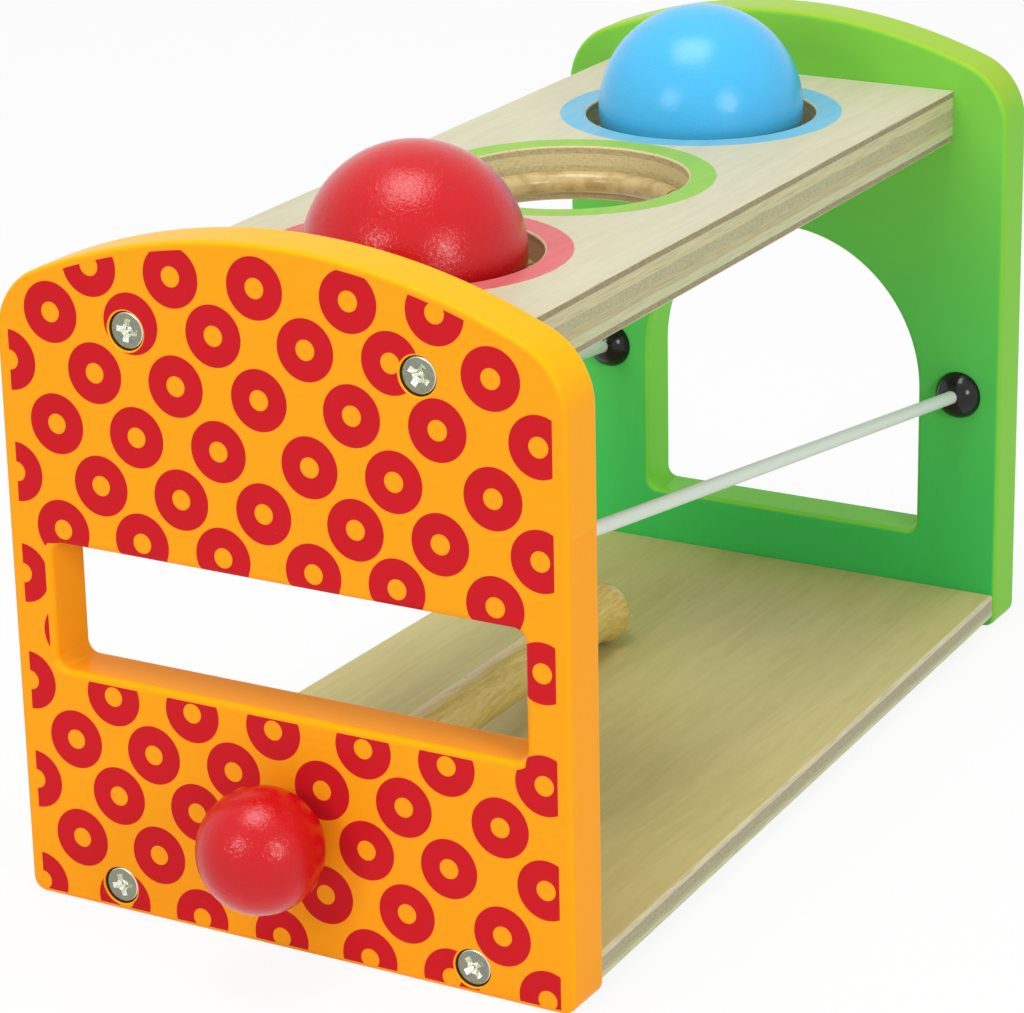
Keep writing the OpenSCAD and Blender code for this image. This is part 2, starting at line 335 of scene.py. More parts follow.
# ---------------------------------------------------------------- boards
inner_y0, inner_y1 = FRONT_Y + PANEL_T, BACK_Y - PANEL_T
x, y0, y1 = BOARD_W / 2 - BOARD_EASE, inner_y0 + BOARD_EASE, inner_y1 - BOARD_EASE
top_loops = [[(-x, y0), (x, y0), (x, y1), (-x, y1)]]
top_loops += [arc(0, y, HOLE_R + BOARD_EASE, 0, 360, steps=160)[:-1] for y in HOLE_YS]
top_board = move(board("top_board_planed", top_loops, BOARD_T, BOARD_EASE, resolution=2), z=BOARD_Z - BOARD_T)
ring_r = math.sqrt((NOMINAL_BALL_R + GRIP_R + BALL_GAP) ** 2 - (GRIP_DEPTH + BALL_RISE) ** 2)
grip_z = BOARD_Z - GRIP_DEPTH
for y in HOLE_YS:
    activate()
    bpy.ops.mesh.primitive_torus_add(major_segments=128, minor_segments=24, major_radius=ring_r * MM,
                                     minor_radius=(GRIP_R + FIT_GAP) * MM, location=(0, y * MM, grip_z * MM))
    cut(top_board, settle(named("groove")))
clean(top_board, angle=30)
apply_modifier(top_board, "WEIGHTED_NORMAL", keep_sharp=True)

front_half, back_half = (width / 2 - BASE_INSET - BASE_EASE for width in (FRONT_W, BACK_W))
y0, y1 = inner_y0 + BASE_EASE, inner_y1 - BASE_EASE
base_loop = [(-front_half, y0), (front_half, y0), (back_half, y1), (-back_half, y1)]
base_board = move(board("base_board_planed", [base_loop], BASE_T, BASE_EASE, resolution=4), z=BASE_Z)
apply_modifier(base_board, "WEIGHTED_NORMAL", keep_sharp=True)


# ---------------------------------------------------------------- rubber rings
def grip_ring(name, y):
    """A length of round rubber bent into its groove, its two ends butted together at one side."""
    bent, butt = 358.2, 44      # degrees of the circle that the rubber fills, and where its ends meet
    activate()
    bpy.ops.mesh.primitive_circle_add(vertices=32, radius=GRIP_R * MM, fill_type="NGON",
                                      location=(ring_r * MM, 0, 0), rotation=(math.pi / 2, 0, 0))
    ring = settle(named(name))
    edit_all(ring)
    bpy.ops.mesh.spin(steps=150, angle=math.radians(bent), center=(0, 0, 0), axis=(0, 0, 1))
    leave_edit()
    place = Matrix.Translation((0, y * MM, grip_z * MM))
    ring.data.transform(place @ Matrix.Rotation(math.radians(butt), 4, "Z"))
    return clean(ring, angle=40)


grips = {f"{place}_grip": grip_ring(f"{place}_grip_rubber", y)
         for place, y in zip(("front", "middle", "back"), HOLE_YS)}


# ---------------------------------------------------------------- balls
def turned_ball(name, r, y):
    """A ball off the lathe, resting on its ring, with a small flat below where the stub was parted off."""
    obj = ball(name, r)
    pick(obj, lambda at, normal: at.z < -0.995 * r * MM, "VERT")
    bpy.ops.transform.resize(value=(1, 1, 0))
    leave_edit()
    return clean(move(obj, y=y, z=grip_z + math.sqrt((r + GRIP_R + BALL_GAP) ** 2 - ring_r ** 2)), angle=40)


red_ball = turned_ball("red_ball_turned", RED_BALL_R, HOLE_YS[0])
blue_ball = turned_ball("blue_ball_turned", BLUE_BALL_R, HOLE_YS[2])


# ---------------------------------------------------------------- rails and caps
def rail_ends(sign):
    """Where a rail meets the front panel and the back panel."""
    return (Vector((sign * RAIL_FRONT_X, inner_y0, RAIL_FRONT_Z)),
            Vector((sign * RAIL_BACK_X, inner_y1, RAIL_BACK_Z)))


def rail(name, sign):
    front, back = rail_ends(sign)
    length = (back - front).length + 2 * RAIL_SEAT
    obj = cylinder(name, RAIL_R, length, (0, 0, length / 2 - RAIL_SEAT), vertices=48)
    pick(obj, lambda at, normal: abs(normal.z) > 0.9)
    bpy.ops.mesh.bevel(offset=0.5 * MM, segments=4)
    leave_edit()
    obj.data.transform(aim(front, back - front))
    return clean(obj, angle=40)


def cap(name, sign, end):
    """A domed plastic cap: part of a ball with a thin rim, flat on the panel, bored for the rail."""
    front, back = rail_ends(sign)
    seat, way = (front, (0, 1, 0)) if end == "front" else (back, (0, -1, 0))
    obj = ball(name, CAP_R, (0, 0, CAP_H - CAP_R), segments=96)
    edit_all(obj)
    bpy.ops.mesh.bisect(plane_co=(0, 0, 0), plane_no=(0, 0, 1), clear_inner=True, use_fill=True)
    leave_edit()
    pick(obj, lambda at, normal: normal.z < -0.9)
    bpy.ops.mesh.bevel(offset=0.25 * MM, segments=3)
    leave_edit()
    obj.data.transform(aim(seat, way))
    bore = cylinder("bore", RAIL_R + FIT_GAP, 40, (0, 0, 0), vertices=48)
    bore.data.transform(aim(seat, back - front))
    cut(obj, bore)
    return clean(obj, angle=40)


sides = (("left", -1), ("right", 1))
rails = {f"{side}_rail": rail(f"{side}_rail_rod", sign) for side, sign in sides}
caps = {f"{side}_{end}_cap": cap(f"{side}_{end}_cap_dome", sign, end)
        for side, sign in sides for end in ("front", "back")}

# ---------------------------------------------------------------- mallet, as it is stored
# Its ball leans against the storage hole's mouth and its knob rests on the base board.
yaw = math.radians(4.85)
knob_z = BASE_Z + BASE_T + KNOB_R + BALL_GAP
slack = (PANEL_T / 2 + HEAD_R) * math.tan(yaw + math.asin((STORAGE_HOLE.z - knob_z) / MALLET_L))
head_stand = math.sqrt((HEAD_R + BALL_GAP) ** 2 - (STORAGE_R - slack) ** 2)
head_to_hole = (PANEL_T / 2 + head_stand) / math.cos(yaw)
lean = math.asin((STORAGE_HOLE.z - knob_z) / (MALLET_L - head_to_hole))
mallet_way = Vector((-math.sin(yaw) * math.cos(lean), math.cos(yaw) * math.cos(lean), -math.sin(lean)))
head_centre = STORAGE_HOLE - head_to_hole * mallet_way
bore_foot = HEAD_R - HEAD_BORE       # the bore's end, along the mallet from the head's middle

mallet_head = ball("mallet_head_turned", HEAD_R, segments=96)
bore_l = 20
cut(mallet_head, cylinder("bore", HANDLE_R + FIT_GAP, bore_l, (0, 0, bore_foot + bore_l / 2), vertices=64))
mallet_head.data.transform(aim(head_centre, mallet_way))
clean(mallet_head, angle=40)

foot_z, foot_ease = bore_foot + FIT_GAP, 0.6
neck_z = MALLET_L - math.sqrt(KNOB_R ** 2 - HANDLE_R ** 2)
straight_l = neck_z - 1.2 - foot_z
swell = [(0.12, -0.5), (0.45, 0.35)]     # how much the handle widens into its knob, and where along the neck
handle_profile = [(0, foot_z), (HANDLE_R - foot_ease, foot_z), (HANDLE_R, foot_z + foot_ease)]
handle_profile += [(HANDLE_R, foot_z + straight_l * i / 12) for i in range(1, 13)]
handle_profile += [(HANDLE_R + wider, neck_z + along) for wider, along in swell]
knob_start = math.degrees(math.asin((HANDLE_R + swell[-1][0]) / KNOB_R))
handle_profile += [(r, MALLET_L - z) for z, r in arc(0, 0, KNOB_R, knob_start, 180, steps=28)[1:]]
mallet_handle = lathe("mallet_handle_turned", handle_profile)
mallet_handle.data.transform(aim(head_centre, mallet_way))

# ---------------------------------------------------------------- screws
SHANK_L, THREADS = 6, 13                     # plain shank below the head, and turns of thread after it
SCREW_SPINS = (8, 31, 77, 52, 15, 64, 40, 5)  # degrees to which each screw was driven


def wood_screw():
    """One countersunk wood screw with a cross recess, its head's face at z 0, its point along Z."""
    root_r, shank_end = SCREW_R - 0.45, SCREW_HEAD_H + SHANK_L
    thread_l = SCREW_L - SCREW_HEAD_H - 9.5
    rim = [(0.42, 0), (0.18, 0.07), (0.03, 0.2), (0, 0.34)]     # in from the head's edge, and how deep
    profile = [(0, 0)] + [(SCREW_HEAD_R - inset, z) for inset, z in rim]
    profile += [(SCREW_R, SCREW_HEAD_H), (SCREW_R, shank_end)]
    for i in range(THREADS):
        z = shank_end + thread_l * i / THREADS
        profile += [(root_r, z + 0.25), (root_r, z + 0.7), (SCREW_R, z + 1.05)]
    profile += [(SCREW_R - 0.3, SCREW_L - 3.2), (0.2, SCREW_L), (0, SCREW_L)]
    screw = lathe("wood_screw", profile, steps=48)
    for turn in (0, math.pi / 2):
        activate()
        bpy.ops.mesh.primitive_cube_add(size=MM, location=(0, 0, 0.3 * MM), scale=(6.0, 1.6, 2.0))
        wing = settle(named("wing"))
        pick(wing, lambda at, normal: normal.z > 0.9)
        bpy.ops.transform.resize(value=(0.35, 0.3, 1))
        leave_edit()
        wing.data.transform(Matrix.Rotation(turn, 4, "Z"))
        cut(screw, wing)
    cut(screw, lathe("point", [(0, -0.5), (1.5, -0.5), (1.25, 0.2), (0.2, 2.0), (0, 2.0)], steps=32))
    return clean(screw, angle=30)


screws = {}
model_screw = wood_screw()
for (name, place, way), spin in zip(screw_places(), SCREW_SPINS):
    twin = new_object(name + "_zinc", model_screw.data.copy())
    twin.data.name = twin.name
    sunk = Matrix.Translation((0, 0, SCREW_SINK * MM))
    twin.data.transform(aim(place, way) @ sunk @ Matrix.Rotation(math.radians(spin), 4, "Z"))
    screws[name] = twin
activate(model_screw)
bpy.ops.object.delete()

# ---------------------------------------------------------------- materials
# Sockets go by number where sockets of one node share a name.
A, B, BLEND = 6, 7, 2                        # a colour Mix node's two colours and its output
LOW, HIGH, TO_LOW, TO_HIGH = 1, 2, 3, 4      # the range that a MapRange node reads, and the one it gives
SMOOTH = {"interpolation_type": "SMOOTHSTEP"}


def add(tree, kind, inputs=None, output=0, **settings):
    """Adds one node with its settings, links or sets its inputs, and gives back one of its outputs."""
    node = tree.nodes.new("ShaderNode" + kind)
    for name, value in settings.items():
        setattr(node, name, value)
    for socket, value in (inputs or {}).items():
        if isinstance(value, bpy.types.NodeSocket):
            tree.links.new(value, node.inputs[socket])
        else:
            node.inputs[socket].default_value = value
    return node.outputs[output]


def material(name, **constants):
    """A new material with its shader's constants set, and the piece's own coordinates in millimetres, so that
    a pattern's scale is one over its size: 0.5 gives a fleck about every 2 mm."""
    made = bpy.data.materials.new(name)
    made.use_nodes = True
    tree = made.node_tree
    shader = tree.nodes["Principled BSDF"]
    for socket, value in constants.items():
        shader.inputs[socket.replace("_", " ")].default_value = value
    place = add(tree, "VectorMath", {0: add(tree, "TexCoord", output="Object"), 1: (1 / MM, 1 / MM, 1 / MM)},
                operation="MULTIPLY")
    return made, tree, shader, place


def surface(tree, shader, colour, height, relief, strength):
    """Gives a material its colour, and its relief in millimetres from a pattern of heights."""
    tree.links.new(colour, shader.inputs["Base Color"])
    bump = add(tree, "Bump", {"Height": height, "Distance": relief * MM, "Strength": strength})
    tree.links.new(bump, shader.inputs["Normal"])


def lacquered(name, end, colour, deep, edge, along):
    """Thick opaque lacquer sprayed on sanded solid wood: an even strong colour with faint streaks where the
    grain tells through, and a soft gloss a little broken up by the grain. Painted light gives a lighter
    warmer tone on the rounded edges and the crown's sides, strongest where they face up, and painted shade
    makes the screw holes' walls dark brown. The grain is drawn coarser than real wood's, which would be too
    fine to show."""
    made, tree, shader, place = material(name, Roughness=0.3, IOR=1.5, Specular_IOR_Level=0.05)
    axes = add(tree, "SeparateXYZ", {0: place}).node.outputs
    stretch = add(tree, "Mapping", {"Vector": place, "Scale": along})
    streaks = add(tree, "TexNoise", {"Vector": stretch, "Scale": 1.0, "Detail": 5, "Roughness": 0.6,
                                     "Distortion": 0.4})
    cloud = add(tree, "TexNoise", {"Vector": place, "Scale": 0.03, "Detail": 2})
    shown = add(tree, "MapRange", {0: streaks, LOW: 0.42, HIGH: 0.75, TO_HIGH: 0.24}, **SMOOTH)
    tone = add(tree, "Math", {0: cloud, 1: 0.14, 2: shown}, operation="MULTIPLY_ADD")
    flat = add(tree, "Mix", {0: tone, A: linear(colour), B: linear(deep)}, BLEND, data_type="RGBA")
    normal = add(tree, "SeparateXYZ", {0: add(tree, "NewGeometry", output="Normal")}).node.outputs
    facing = add(tree, "Math", {0: normal["Y"]}, operation="ABSOLUTE")
    side = add(tree, "MapRange", {0: facing, LOW: 0.98, HIGH: 0.7}, **SMOOTH)
    rounded = add(tree, "MapRange", {0: facing, LOW: 0.03, HIGH: 0.3}, **SMOOTH)
    # Painted light: the edge colour is laid on the rounded edges and the crown's sides, more where they face
    # up.
    upward = add(tree, "MapRange", {0: normal["Z"], LOW: 0, HIGH: 0.6, TO_LOW: 0.25}, **SMOOTH)
    crown_foot_z = 95
    crown = add(tree, "Math", {0: axes["Z"], 1: crown_foot_z}, operation="GREATER_THAN")
    crown = add(tree, "Math", {0: crown, 1: rounded}, operation="MAXIMUM")
    lit_edge_share = add(tree, "Math", {0: upward, 1: crown}, operation="MULTIPLY")
    lit_edge_share = add(tree, "Math", {0: side, 1: lit_edge_share}, operation="MULTIPLY")
    base = add(tree, "Mix", {0: lit_edge_share, A: flat, B: linear(edge)}, BLEND, data_type="RGBA")
    face_y = FRONT_Y if end == "front" else BACK_Y
    # Painted shade: the screw holes' walls below the face are dark brown.
    shade_depth, sink_shade_r = 0.26, SCREW_HEAD_R + 0.6
    sunk = add(tree, "Math", {0: axes["Y"], 1: face_y, 2: shade_depth}, operation="COMPARE")
    sunk = add(tree, "Math", {0: 1, 1: sunk}, operation="SUBTRACT")
    for _, head, _ in screw_places([end]):
        apart = add(tree, "VectorMath", {0: place, 1: head}, "Value", operation="DISTANCE")
        sink_shade = add(tree, "Math", {0: apart, 1: sink_shade_r}, operation="LESS_THAN")
        sink_shade = add(tree, "Math", {0: sink_shade, 1: sunk}, operation="MULTIPLY")
        base = add(tree, "Mix", {0: sink_shade, A: base, B: linear("#4A3414")}, BLEND, data_type="RGBA")
    peel = add(tree, "TexNoise", {"Vector": place, "Scale": 0.9, "Detail": 2})
    height = add(tree, "Math", {0: streaks, 1: 0.5, 2: peel}, operation="MULTIPLY_ADD")
    return made, tree, shader, place, axes, base, height, side


# The print on the front panel: staggered rows of rings, drawn as two lattices, one between the other's rows.
RING_R, RING_HOLE_R = 6.15, 2.03
RING_PITCH_X, RING_PITCH_Z, LAST_RING = 19.25, 21.97, 5
# x and z of each lattice's upper left ring
FIRST_RINGS = ((-40.3, 134.7), (-49.9, 134.7 - RING_PITCH_Z / 2))
QUICK_SWAY, SLOW_SWAY, RISE = 0.7, 0.45, 0.46    # how far a ring is off its place, sideways twice, and up
INK_EDGE = 0.07                                  # half the blur of the ink's edge
SIDE_MARGIN, CROWN_MARGIN = 2.85, 1.6            # from the panel's outline in to the print
LIP_W, LIP_DEPTH = 1.6, 1.2                      # how far the print follows the window's rounding
SCREW_MARGIN, SCREW_FADE = 0.5, 0.12             # around each screw's head


def wave(tree, count, turn, start):
    """A sway that comes and goes along a row: the cosine of so many turns more for each ring."""
    angle = add(tree, "Math", {0: count, 1: turn, 2: start}, operation="MULTIPLY_ADD")
    return add(tree, "Math", {0: angle}, operation="COSINE")


def ring_distance(tree, place, axes, number):
    """How far a point is from the middle of the nearest ring of one lattice."""
    x0, z0 = FIRST_RINGS[number]
    up = add(tree, "Math", {0: axes["Z"], 1: z0}, operation="SUBTRACT")
    row = add(tree, "Math", {0: up, 1: -RING_PITCH_Z}, operation="DIVIDE")
    row = add(tree, "Math", {0: row}, operation="ROUND")
    row = add(tree, "Math", {0: row, 1: 0}, operation="MAXIMUM")
    across = add(tree, "Math", {0: axes["X"], 1: x0}, operation="SUBTRACT")
    step = add(tree, "Math", {0: across, 1: RING_PITCH_X}, operation="DIVIDE")
    step = add(tree, "Math", {0: step}, operation="ROUND")
    step = add(tree, "Math", {0: step, 1: LAST_RING}, operation="MINIMUM")
    quick = wave(tree, step, 2.62, -1.05)
    slow = wave(tree, step, 0.87, 0.97)
    row_start = add(tree, "Math", {0: row, 1: 2.8, 2: 1.4 * number - 2.2}, operation="MULTIPLY_ADD")
    rise = wave(tree, step, 0.26, row_start)
    dx = add(tree, "Math", {0: step, 1: -RING_PITCH_X, 2: across}, operation="MULTIPLY_ADD")
    dx = add(tree, "Math", {0: quick, 1: -QUICK_SWAY, 2: dx}, operation="MULTIPLY_ADD")
    dx = add(tree, "Math", {0: slow, 1: -SLOW_SWAY, 2: dx}, operation="MULTIPLY_ADD")
    dz = add(tree, "Math", {0: row, 1: RING_PITCH_Z, 2: up}, operation="MULTIPLY_ADD")
    dz = add(tree, "Math", {0: rise, 1: -RISE, 2: dz}, operation="MULTIPLY_ADD")
    off = add(tree, "CombineXYZ", {0: dx, 2: dz})
    apart = add(tree, "VectorMath", {0: off}, "Value", operation="LENGTH")
    # A ring whose middle would fall beyond the crown is left out: it counts as too far away to print.
    middle = add(tree, "VectorMath", {0: place, 1: off}, operation="SUBTRACT")
    middle = add(tree, "VectorMath", {0: middle, 1: (0, FRONT_Y, CROWN_Z)}, "Value", operation="DISTANCE")
    beyond = add(tree, "Math", {0: middle, 1: CROWN_R}, operation="GREATER_THAN")
    return add(tree, "Math", {0: beyond, 1: 2 * RING_R, 2: apart}, operation="MULTIPLY_ADD")


def printed_panel():
    """Orange lacquer with rings screen-printed on its outer face: flat opaque red ink with crisp edges, a
    hair raised, with a few pale rubs. The rings stand in staggered rows, each a little off its place."""
    # The third colour is painted light, a lighter warmer tone for the rounded edges that face up.
    made, tree, shader, place, axes, base, height, _ = lacquered(
        "orange_lacquer_screen_printed", "front", "#FCA41A", "#F69A1A", "#FFB40E", along=(0.07, 2.2, 2.2))
    x, y, z = axes
    first, second = (ring_distance(tree, place, axes, number) for number in (0, 1))
    near = add(tree, "Math", {0: first, 1: second}, operation="MINIMUM")
    ink = add(tree, "MapRange", {0: near, LOW: RING_HOLE_R - INK_EDGE, HIGH: RING_HOLE_R + INK_EDGE},
              **SMOOTH)
    rim = add(tree, "MapRange", {0: near, LOW: RING_R + INK_EDGE, HIGH: RING_R - INK_EDGE}, **SMOOTH)
    # The print stays on the flat, a little inside the outer rounding, but follows the rounding of the
    # window's top and right edge.
    inside = add(tree, "Math", {0: x, 1: 0, 2: FRONT_W / 2 - SIDE_MARGIN}, operation="COMPARE")
    crown = add(tree, "VectorMath", {0: place, 1: (0, FRONT_Y, CROWN_Z)}, "Value", operation="DISTANCE")
    crown = add(tree, "Math", {0: crown, 1: CROWN_R - CROWN_MARGIN}, operation="LESS_THAN")
    lip_half = LIP_W / 2 + 0.1
    top_x = add(tree, "Math", {0: x, 1: 0, 2: WINDOW_W / 2 + LIP_W}, operation="COMPARE")
    top_z = add(tree, "Math", {0: z, 1: WINDOW_Z + WINDOW_H + LIP_W / 2, 2: lip_half}, operation="COMPARE")
    right_x = add(tree, "Math", {0: x, 1: WINDOW_W / 2 + LIP_W / 2, 2: lip_half}, operation="COMPARE")
    right_z = add(tree, "Math", {0: z, 1: WINDOW_Z + WINDOW_H / 2, 2: WINDOW_H / 2 + LIP_W},
                  operation="COMPARE")
    top_lip = add(tree, "Math", {0: top_x, 1: top_z}, operation="MULTIPLY")
    lip = add(tree, "Math", {0: right_x, 1: right_z, 2: top_lip}, operation="MULTIPLY_ADD")
    reach = add(tree, "Math", {0: lip, 1: LIP_DEPTH, 2: FRONT_Y + 0.02}, operation="MULTIPLY_ADD")
    flat = add(tree, "Math", {0: y, 1: reach}, operation="LESS_THAN")
    for mask in (rim, inside, crown, flat):
        ink = add(tree, "Math", {0: ink, 1: mask}, operation="MULTIPLY")
    clear_r = SCREW_HEAD_R + SCREW_MARGIN
    for _, head, _ in screw_places(["front"]):
        apart = add(tree, "VectorMath", {0: place, 1: head}, "Value", operation="DISTANCE")
        clear = add(tree, "MapRange", {0: apart, LOW: clear_r, HIGH: clear_r + SCREW_FADE}, **SMOOTH)
        ink = add(tree, "Math", {0: ink, 1: clear}, operation="MULTIPLY")
    cloud = add(tree, "TexNoise", {"Vector": place, "Scale": 0.12, "Detail": 2})
    red = add(tree, "Mix", {0: cloud, A: linear("#CE1D27"), B: linear("#C41C25")}, BLEND, data_type="RGBA")
    slant = add(tree, "Mapping", {"Vector": place, "Rotation": (0, 0.6, 0), "Scale": (0.25, 1, 3)})
    rubs = add(tree, "TexNoise", {"Vector": slant, "Scale": 1.0, "Detail": 3, "Roughness": 0.6})
    rubs = add(tree, "MapRange", {0: rubs, LOW: 0.7, HIGH: 0.76, TO_HIGH: 0.5}, **SMOOTH)
    red = add(tree, "Mix", {0: rubs, A: red, B: linear("#DD6A60")}, BLEND, data_type="RGBA")
    colour = add(tree, "Mix", {0: ink, A: base, B: red}, BLEND, data_type="RGBA")
    height = add(tree, "Math", {0: ink, 1: 0.7, 2: height}, operation="MULTIPLY_ADD")
    surface(tree, shader, colour, height, relief=0.02, strength=0.6)
    return made


def green_panel():
    """The same lacquer in green, over upright grain. Painted light makes it lighter and yellower towards the
    crown and on the sides, the more where they face up, and a brighter green on the doorway's shaded walls."""
    # The third colour is painted light, a lighter yellower tone for the rounded edges that face up.
    made, tree, shader, _, axes, base, height, side = lacquered(
        "green_lacquer_sprayed", "back", "#46CA60", "#3CC25E", "#A4D440", along=(2.2, 2.2, 0.07))
    # Painted light: the face turns lighter and yellower towards the crown.
    high = add(tree, "MapRange", {0: axes["Z"], LOW: 15, HIGH: PANEL_H})
    high = add(tree, "Math", {0: high, 1: 1.5}, operation="POWER")
    colour = add(tree, "Mix", {0: high, A: base, B: linear("#84CA44")}, BLEND, data_type="RGBA")
    # Painted light: the sides are lighter and yellower than the face, more so where they face up.
    upward = add(tree, "SeparateXYZ", {0: add(tree, "NewGeometry", output="Normal")}, 2)
    sawn = add(tree, "MapRange", {0: upward, LOW: 0.1, HIGH: 0.7}, **SMOOTH)
    sawn = add(tree, "Mix", {0: sawn, A: linear("#84CE3E"), B: linear("#9EC636")}, BLEND, data_type="RGBA")
    # Painted light: a brighter green on the doorway's walls, which lifts their shade.
    doorway_lift = add(tree, "Math", {0: axes["X"], 1: 0, 2: ARCH_W / 2 + 2}, operation="COMPARE")
    below = add(tree, "Math", {0: axes["Z"], 1: ARCH_SPRING_Z + ARCH_W / 2 + 2}, operation="LESS_THAN")
    doorway_lift = add(tree, "Math", {0: doorway_lift, 1: below}, operation="MULTIPLY")
    sawn = add(tree, "Mix", {0: doorway_lift, A: sawn, B: linear("#82DC48")}, BLEND, data_type="RGBA")
    colour = add(tree, "Mix", {0: side, A: colour, B: sawn}, BLEND, data_type="RGBA")
    surface(tree, shader, colour, height, relief=0.02, strength=0.6)
    return made


def plywood(name, plies, low_z, thickness, veneer, veneer_dark, stains=()):
    """Birch plywood, sanded, under a clear matt lacquer: pale fine-grained face veneers, and on the sawn
    edges the stacked plies, pale where the grain runs along the board and darker and speckled where it is
    cut across. Each ply is (start from the top as a part of the thickness, colour, 1 where its grain is cut
    across), and each stain (y of its hole, one colour of its figure, the other one). Pores and fibres are
    drawn coarser than birch's own, which would be too fine to show."""
    made, tree, shader, place = material(name, Roughness=0.45, IOR=1.45, Specular_IOR_Level=0.25)
    axes = add(tree, "SeparateXYZ", {0: place}).node.outputs
    wander = add(tree, "Mapping", {"Vector": place, "Scale": (0.08, 0.02, 0.08)})
    wander = add(tree, "TexNoise", {"Vector": wander, "Scale": 1.0, "Detail": 2})
    depth = add(tree, "MapRange", {0: axes["Z"], LOW: low_z + thickness, HIGH: low_z})
    depth = add(tree, "Math", {0: wander, 1: 0.03, 2: depth}, operation="MULTIPLY_ADD")
    depth = add(tree, "Math", {0: depth, 1: 0.015}, operation="SUBTRACT")
    ramp = add(tree, "ValToRGB", {0: depth}).node
    ramp.color_ramp.interpolation = "CONSTANT"
    while len(ramp.color_ramp.elements) < len(plies):
        ramp.color_ramp.elements.new(1.0)
    for element, (start, code, across) in zip(ramp.color_ramp.elements, plies):
        element.position = start
        element.color = linear(code)[:3] + (across,)
    ply, cut_across = ramp.outputs["Color"], ramp.outputs["Alpha"]
    fibres = add(tree, "Mapping", {"Vector": place, "Scale": (3.0, 0.09, 3.0)})
    fibres = add(tree, "TexNoise", {"Vector": fibres, "Scale": 1.0, "Detail": 6, "Roughness": 0.65,
                                    "Distortion": 0.3})
    ends = add(tree, "Mapping", {"Vector": place, "Scale": (0.5, 1.6, 2.2)})
    ends = add(tree, "TexNoise", {"Vector": ends, "Scale": 1.0, "Detail": 5, "Roughness": 0.7})
    grain = add(tree, "Mix", {0: cut_across, 2: fibres, 3: ends})
    dark = add(tree, "MapRange", {0: grain, LOW: 0.45, HIGH: 0.8, TO_HIGH: 0.6}, **SMOOTH)
    pale = add(tree, "MapRange", {0: grain, LOW: 0.5, HIGH: 0.25, TO_HIGH: 0.4}, **SMOOTH)
    # The holes' walls are sanded smoother than the sides, and paler.
    smooth = add(tree, "Mix", {0: 0.5, A: ply, B: linear("#D2BE88")}, BLEND, data_type="RGBA")
    in_hole = add(tree, "Math", {0: axes["X"], 1: 0, 2: HOLE_R + 2}, operation="COMPARE")
    sawn = add(tree, "Mix", {0: in_hole, A: ply, B: smooth}, BLEND, data_type="RGBA")
    edge = add(tree, "Mix", {0: dark, A: sawn, B: linear("#6F6344")}, BLEND, data_type="RGBA")
    edge = add(tree, "Mix", {0: pale, A: edge, B: linear("#DCD7AE")}, BLEND, data_type="RGBA")
    figure = add(tree, "Mapping", {"Vector": place, "Scale": (0.35, 0.03, 0.35)})
    figure = add(tree, "TexNoise", {"Vector": figure, "Scale": 1.0, "Detail": 4, "Distortion": 1.2})
    figure = add(tree, "MapRange", {0: figure, LOW: 0.3, HIGH: 0.75}, **SMOOTH)
    pores = add(tree, "Mapping", {"Vector": place, "Scale": (5.0, 0.35, 5.0)})
    pores = add(tree, "TexNoise", {"Vector": pores, "Scale": 1.0, "Detail": 3, "Roughness": 0.6})
    dots = add(tree, "MapRange", {0: pores, LOW: 0.55, HIGH: 0.8, TO_HIGH: 0.16}, **SMOOTH)
    face = add(tree, "Mix", {0: figure, A: linear(veneer), B: linear(veneer_dark)}, BLEND, data_type="RGBA")
    face = add(tree, "Mix", {0: dots, A: face, B: linear("#A39872")}, BLEND, data_type="RGBA")
    upward = add(tree, "SeparateXYZ", {0: add(tree, "NewGeometry", output="Normal")}, 2)
    level = add(tree, "Math", {0: upward}, operation="ABSOLUTE")
    level = add(tree, "MapRange", {0: level, LOW: 0.75, HIGH: 0.95}, **SMOOTH)
    colour = add(tree, "Mix", {0: level, A: edge, B: face}, BLEND, data_type="RGBA")
    on_top = add(tree, "MapRange", {0: upward, LOW: 0.9, HIGH: 0.97, TO_HIGH: 0.97}, **SMOOTH)
    for at_y, one, other in stains:
        apart = add(tree, "VectorMath", {0: place, 1: (0, at_y, low_z + thickness)}, "Value",
                    operation="DISTANCE")
        apart = add(tree, "Math", {0: pores, 1: 0.8, 2: apart}, operation="MULTIPLY_ADD")
        disc = add(tree, "MapRange", {0: apart, LOW: STAIN_R + STAIN_FADE, HIGH: STAIN_R - STAIN_FADE},
                   **SMOOTH)
        amount = add(tree, "Math", {0: disc, 1: on_top}, operation="MULTIPLY")
        tint = add(tree, "Mix", {0: figure, A: linear(other), B: linear(one)}, BLEND, data_type="RGBA")
        colour = add(tree, "Mix", {0: amount, A: colour, B: tint}, BLEND, data_type="RGBA")
    flattened = add(tree, "Math", {0: 1.0, 1: level}, operation="SUBTRACT")
    height = add(tree, "Math", {0: grain, 1: flattened}, operation="MULTIPLY")
    height = add(tree, "Math", {0: pores, 1: 0.25, 2: height}, operation="MULTIPLY_ADD")
    surface(tree, shader, colour, height, relief=0.06, strength=0.7)
    return made


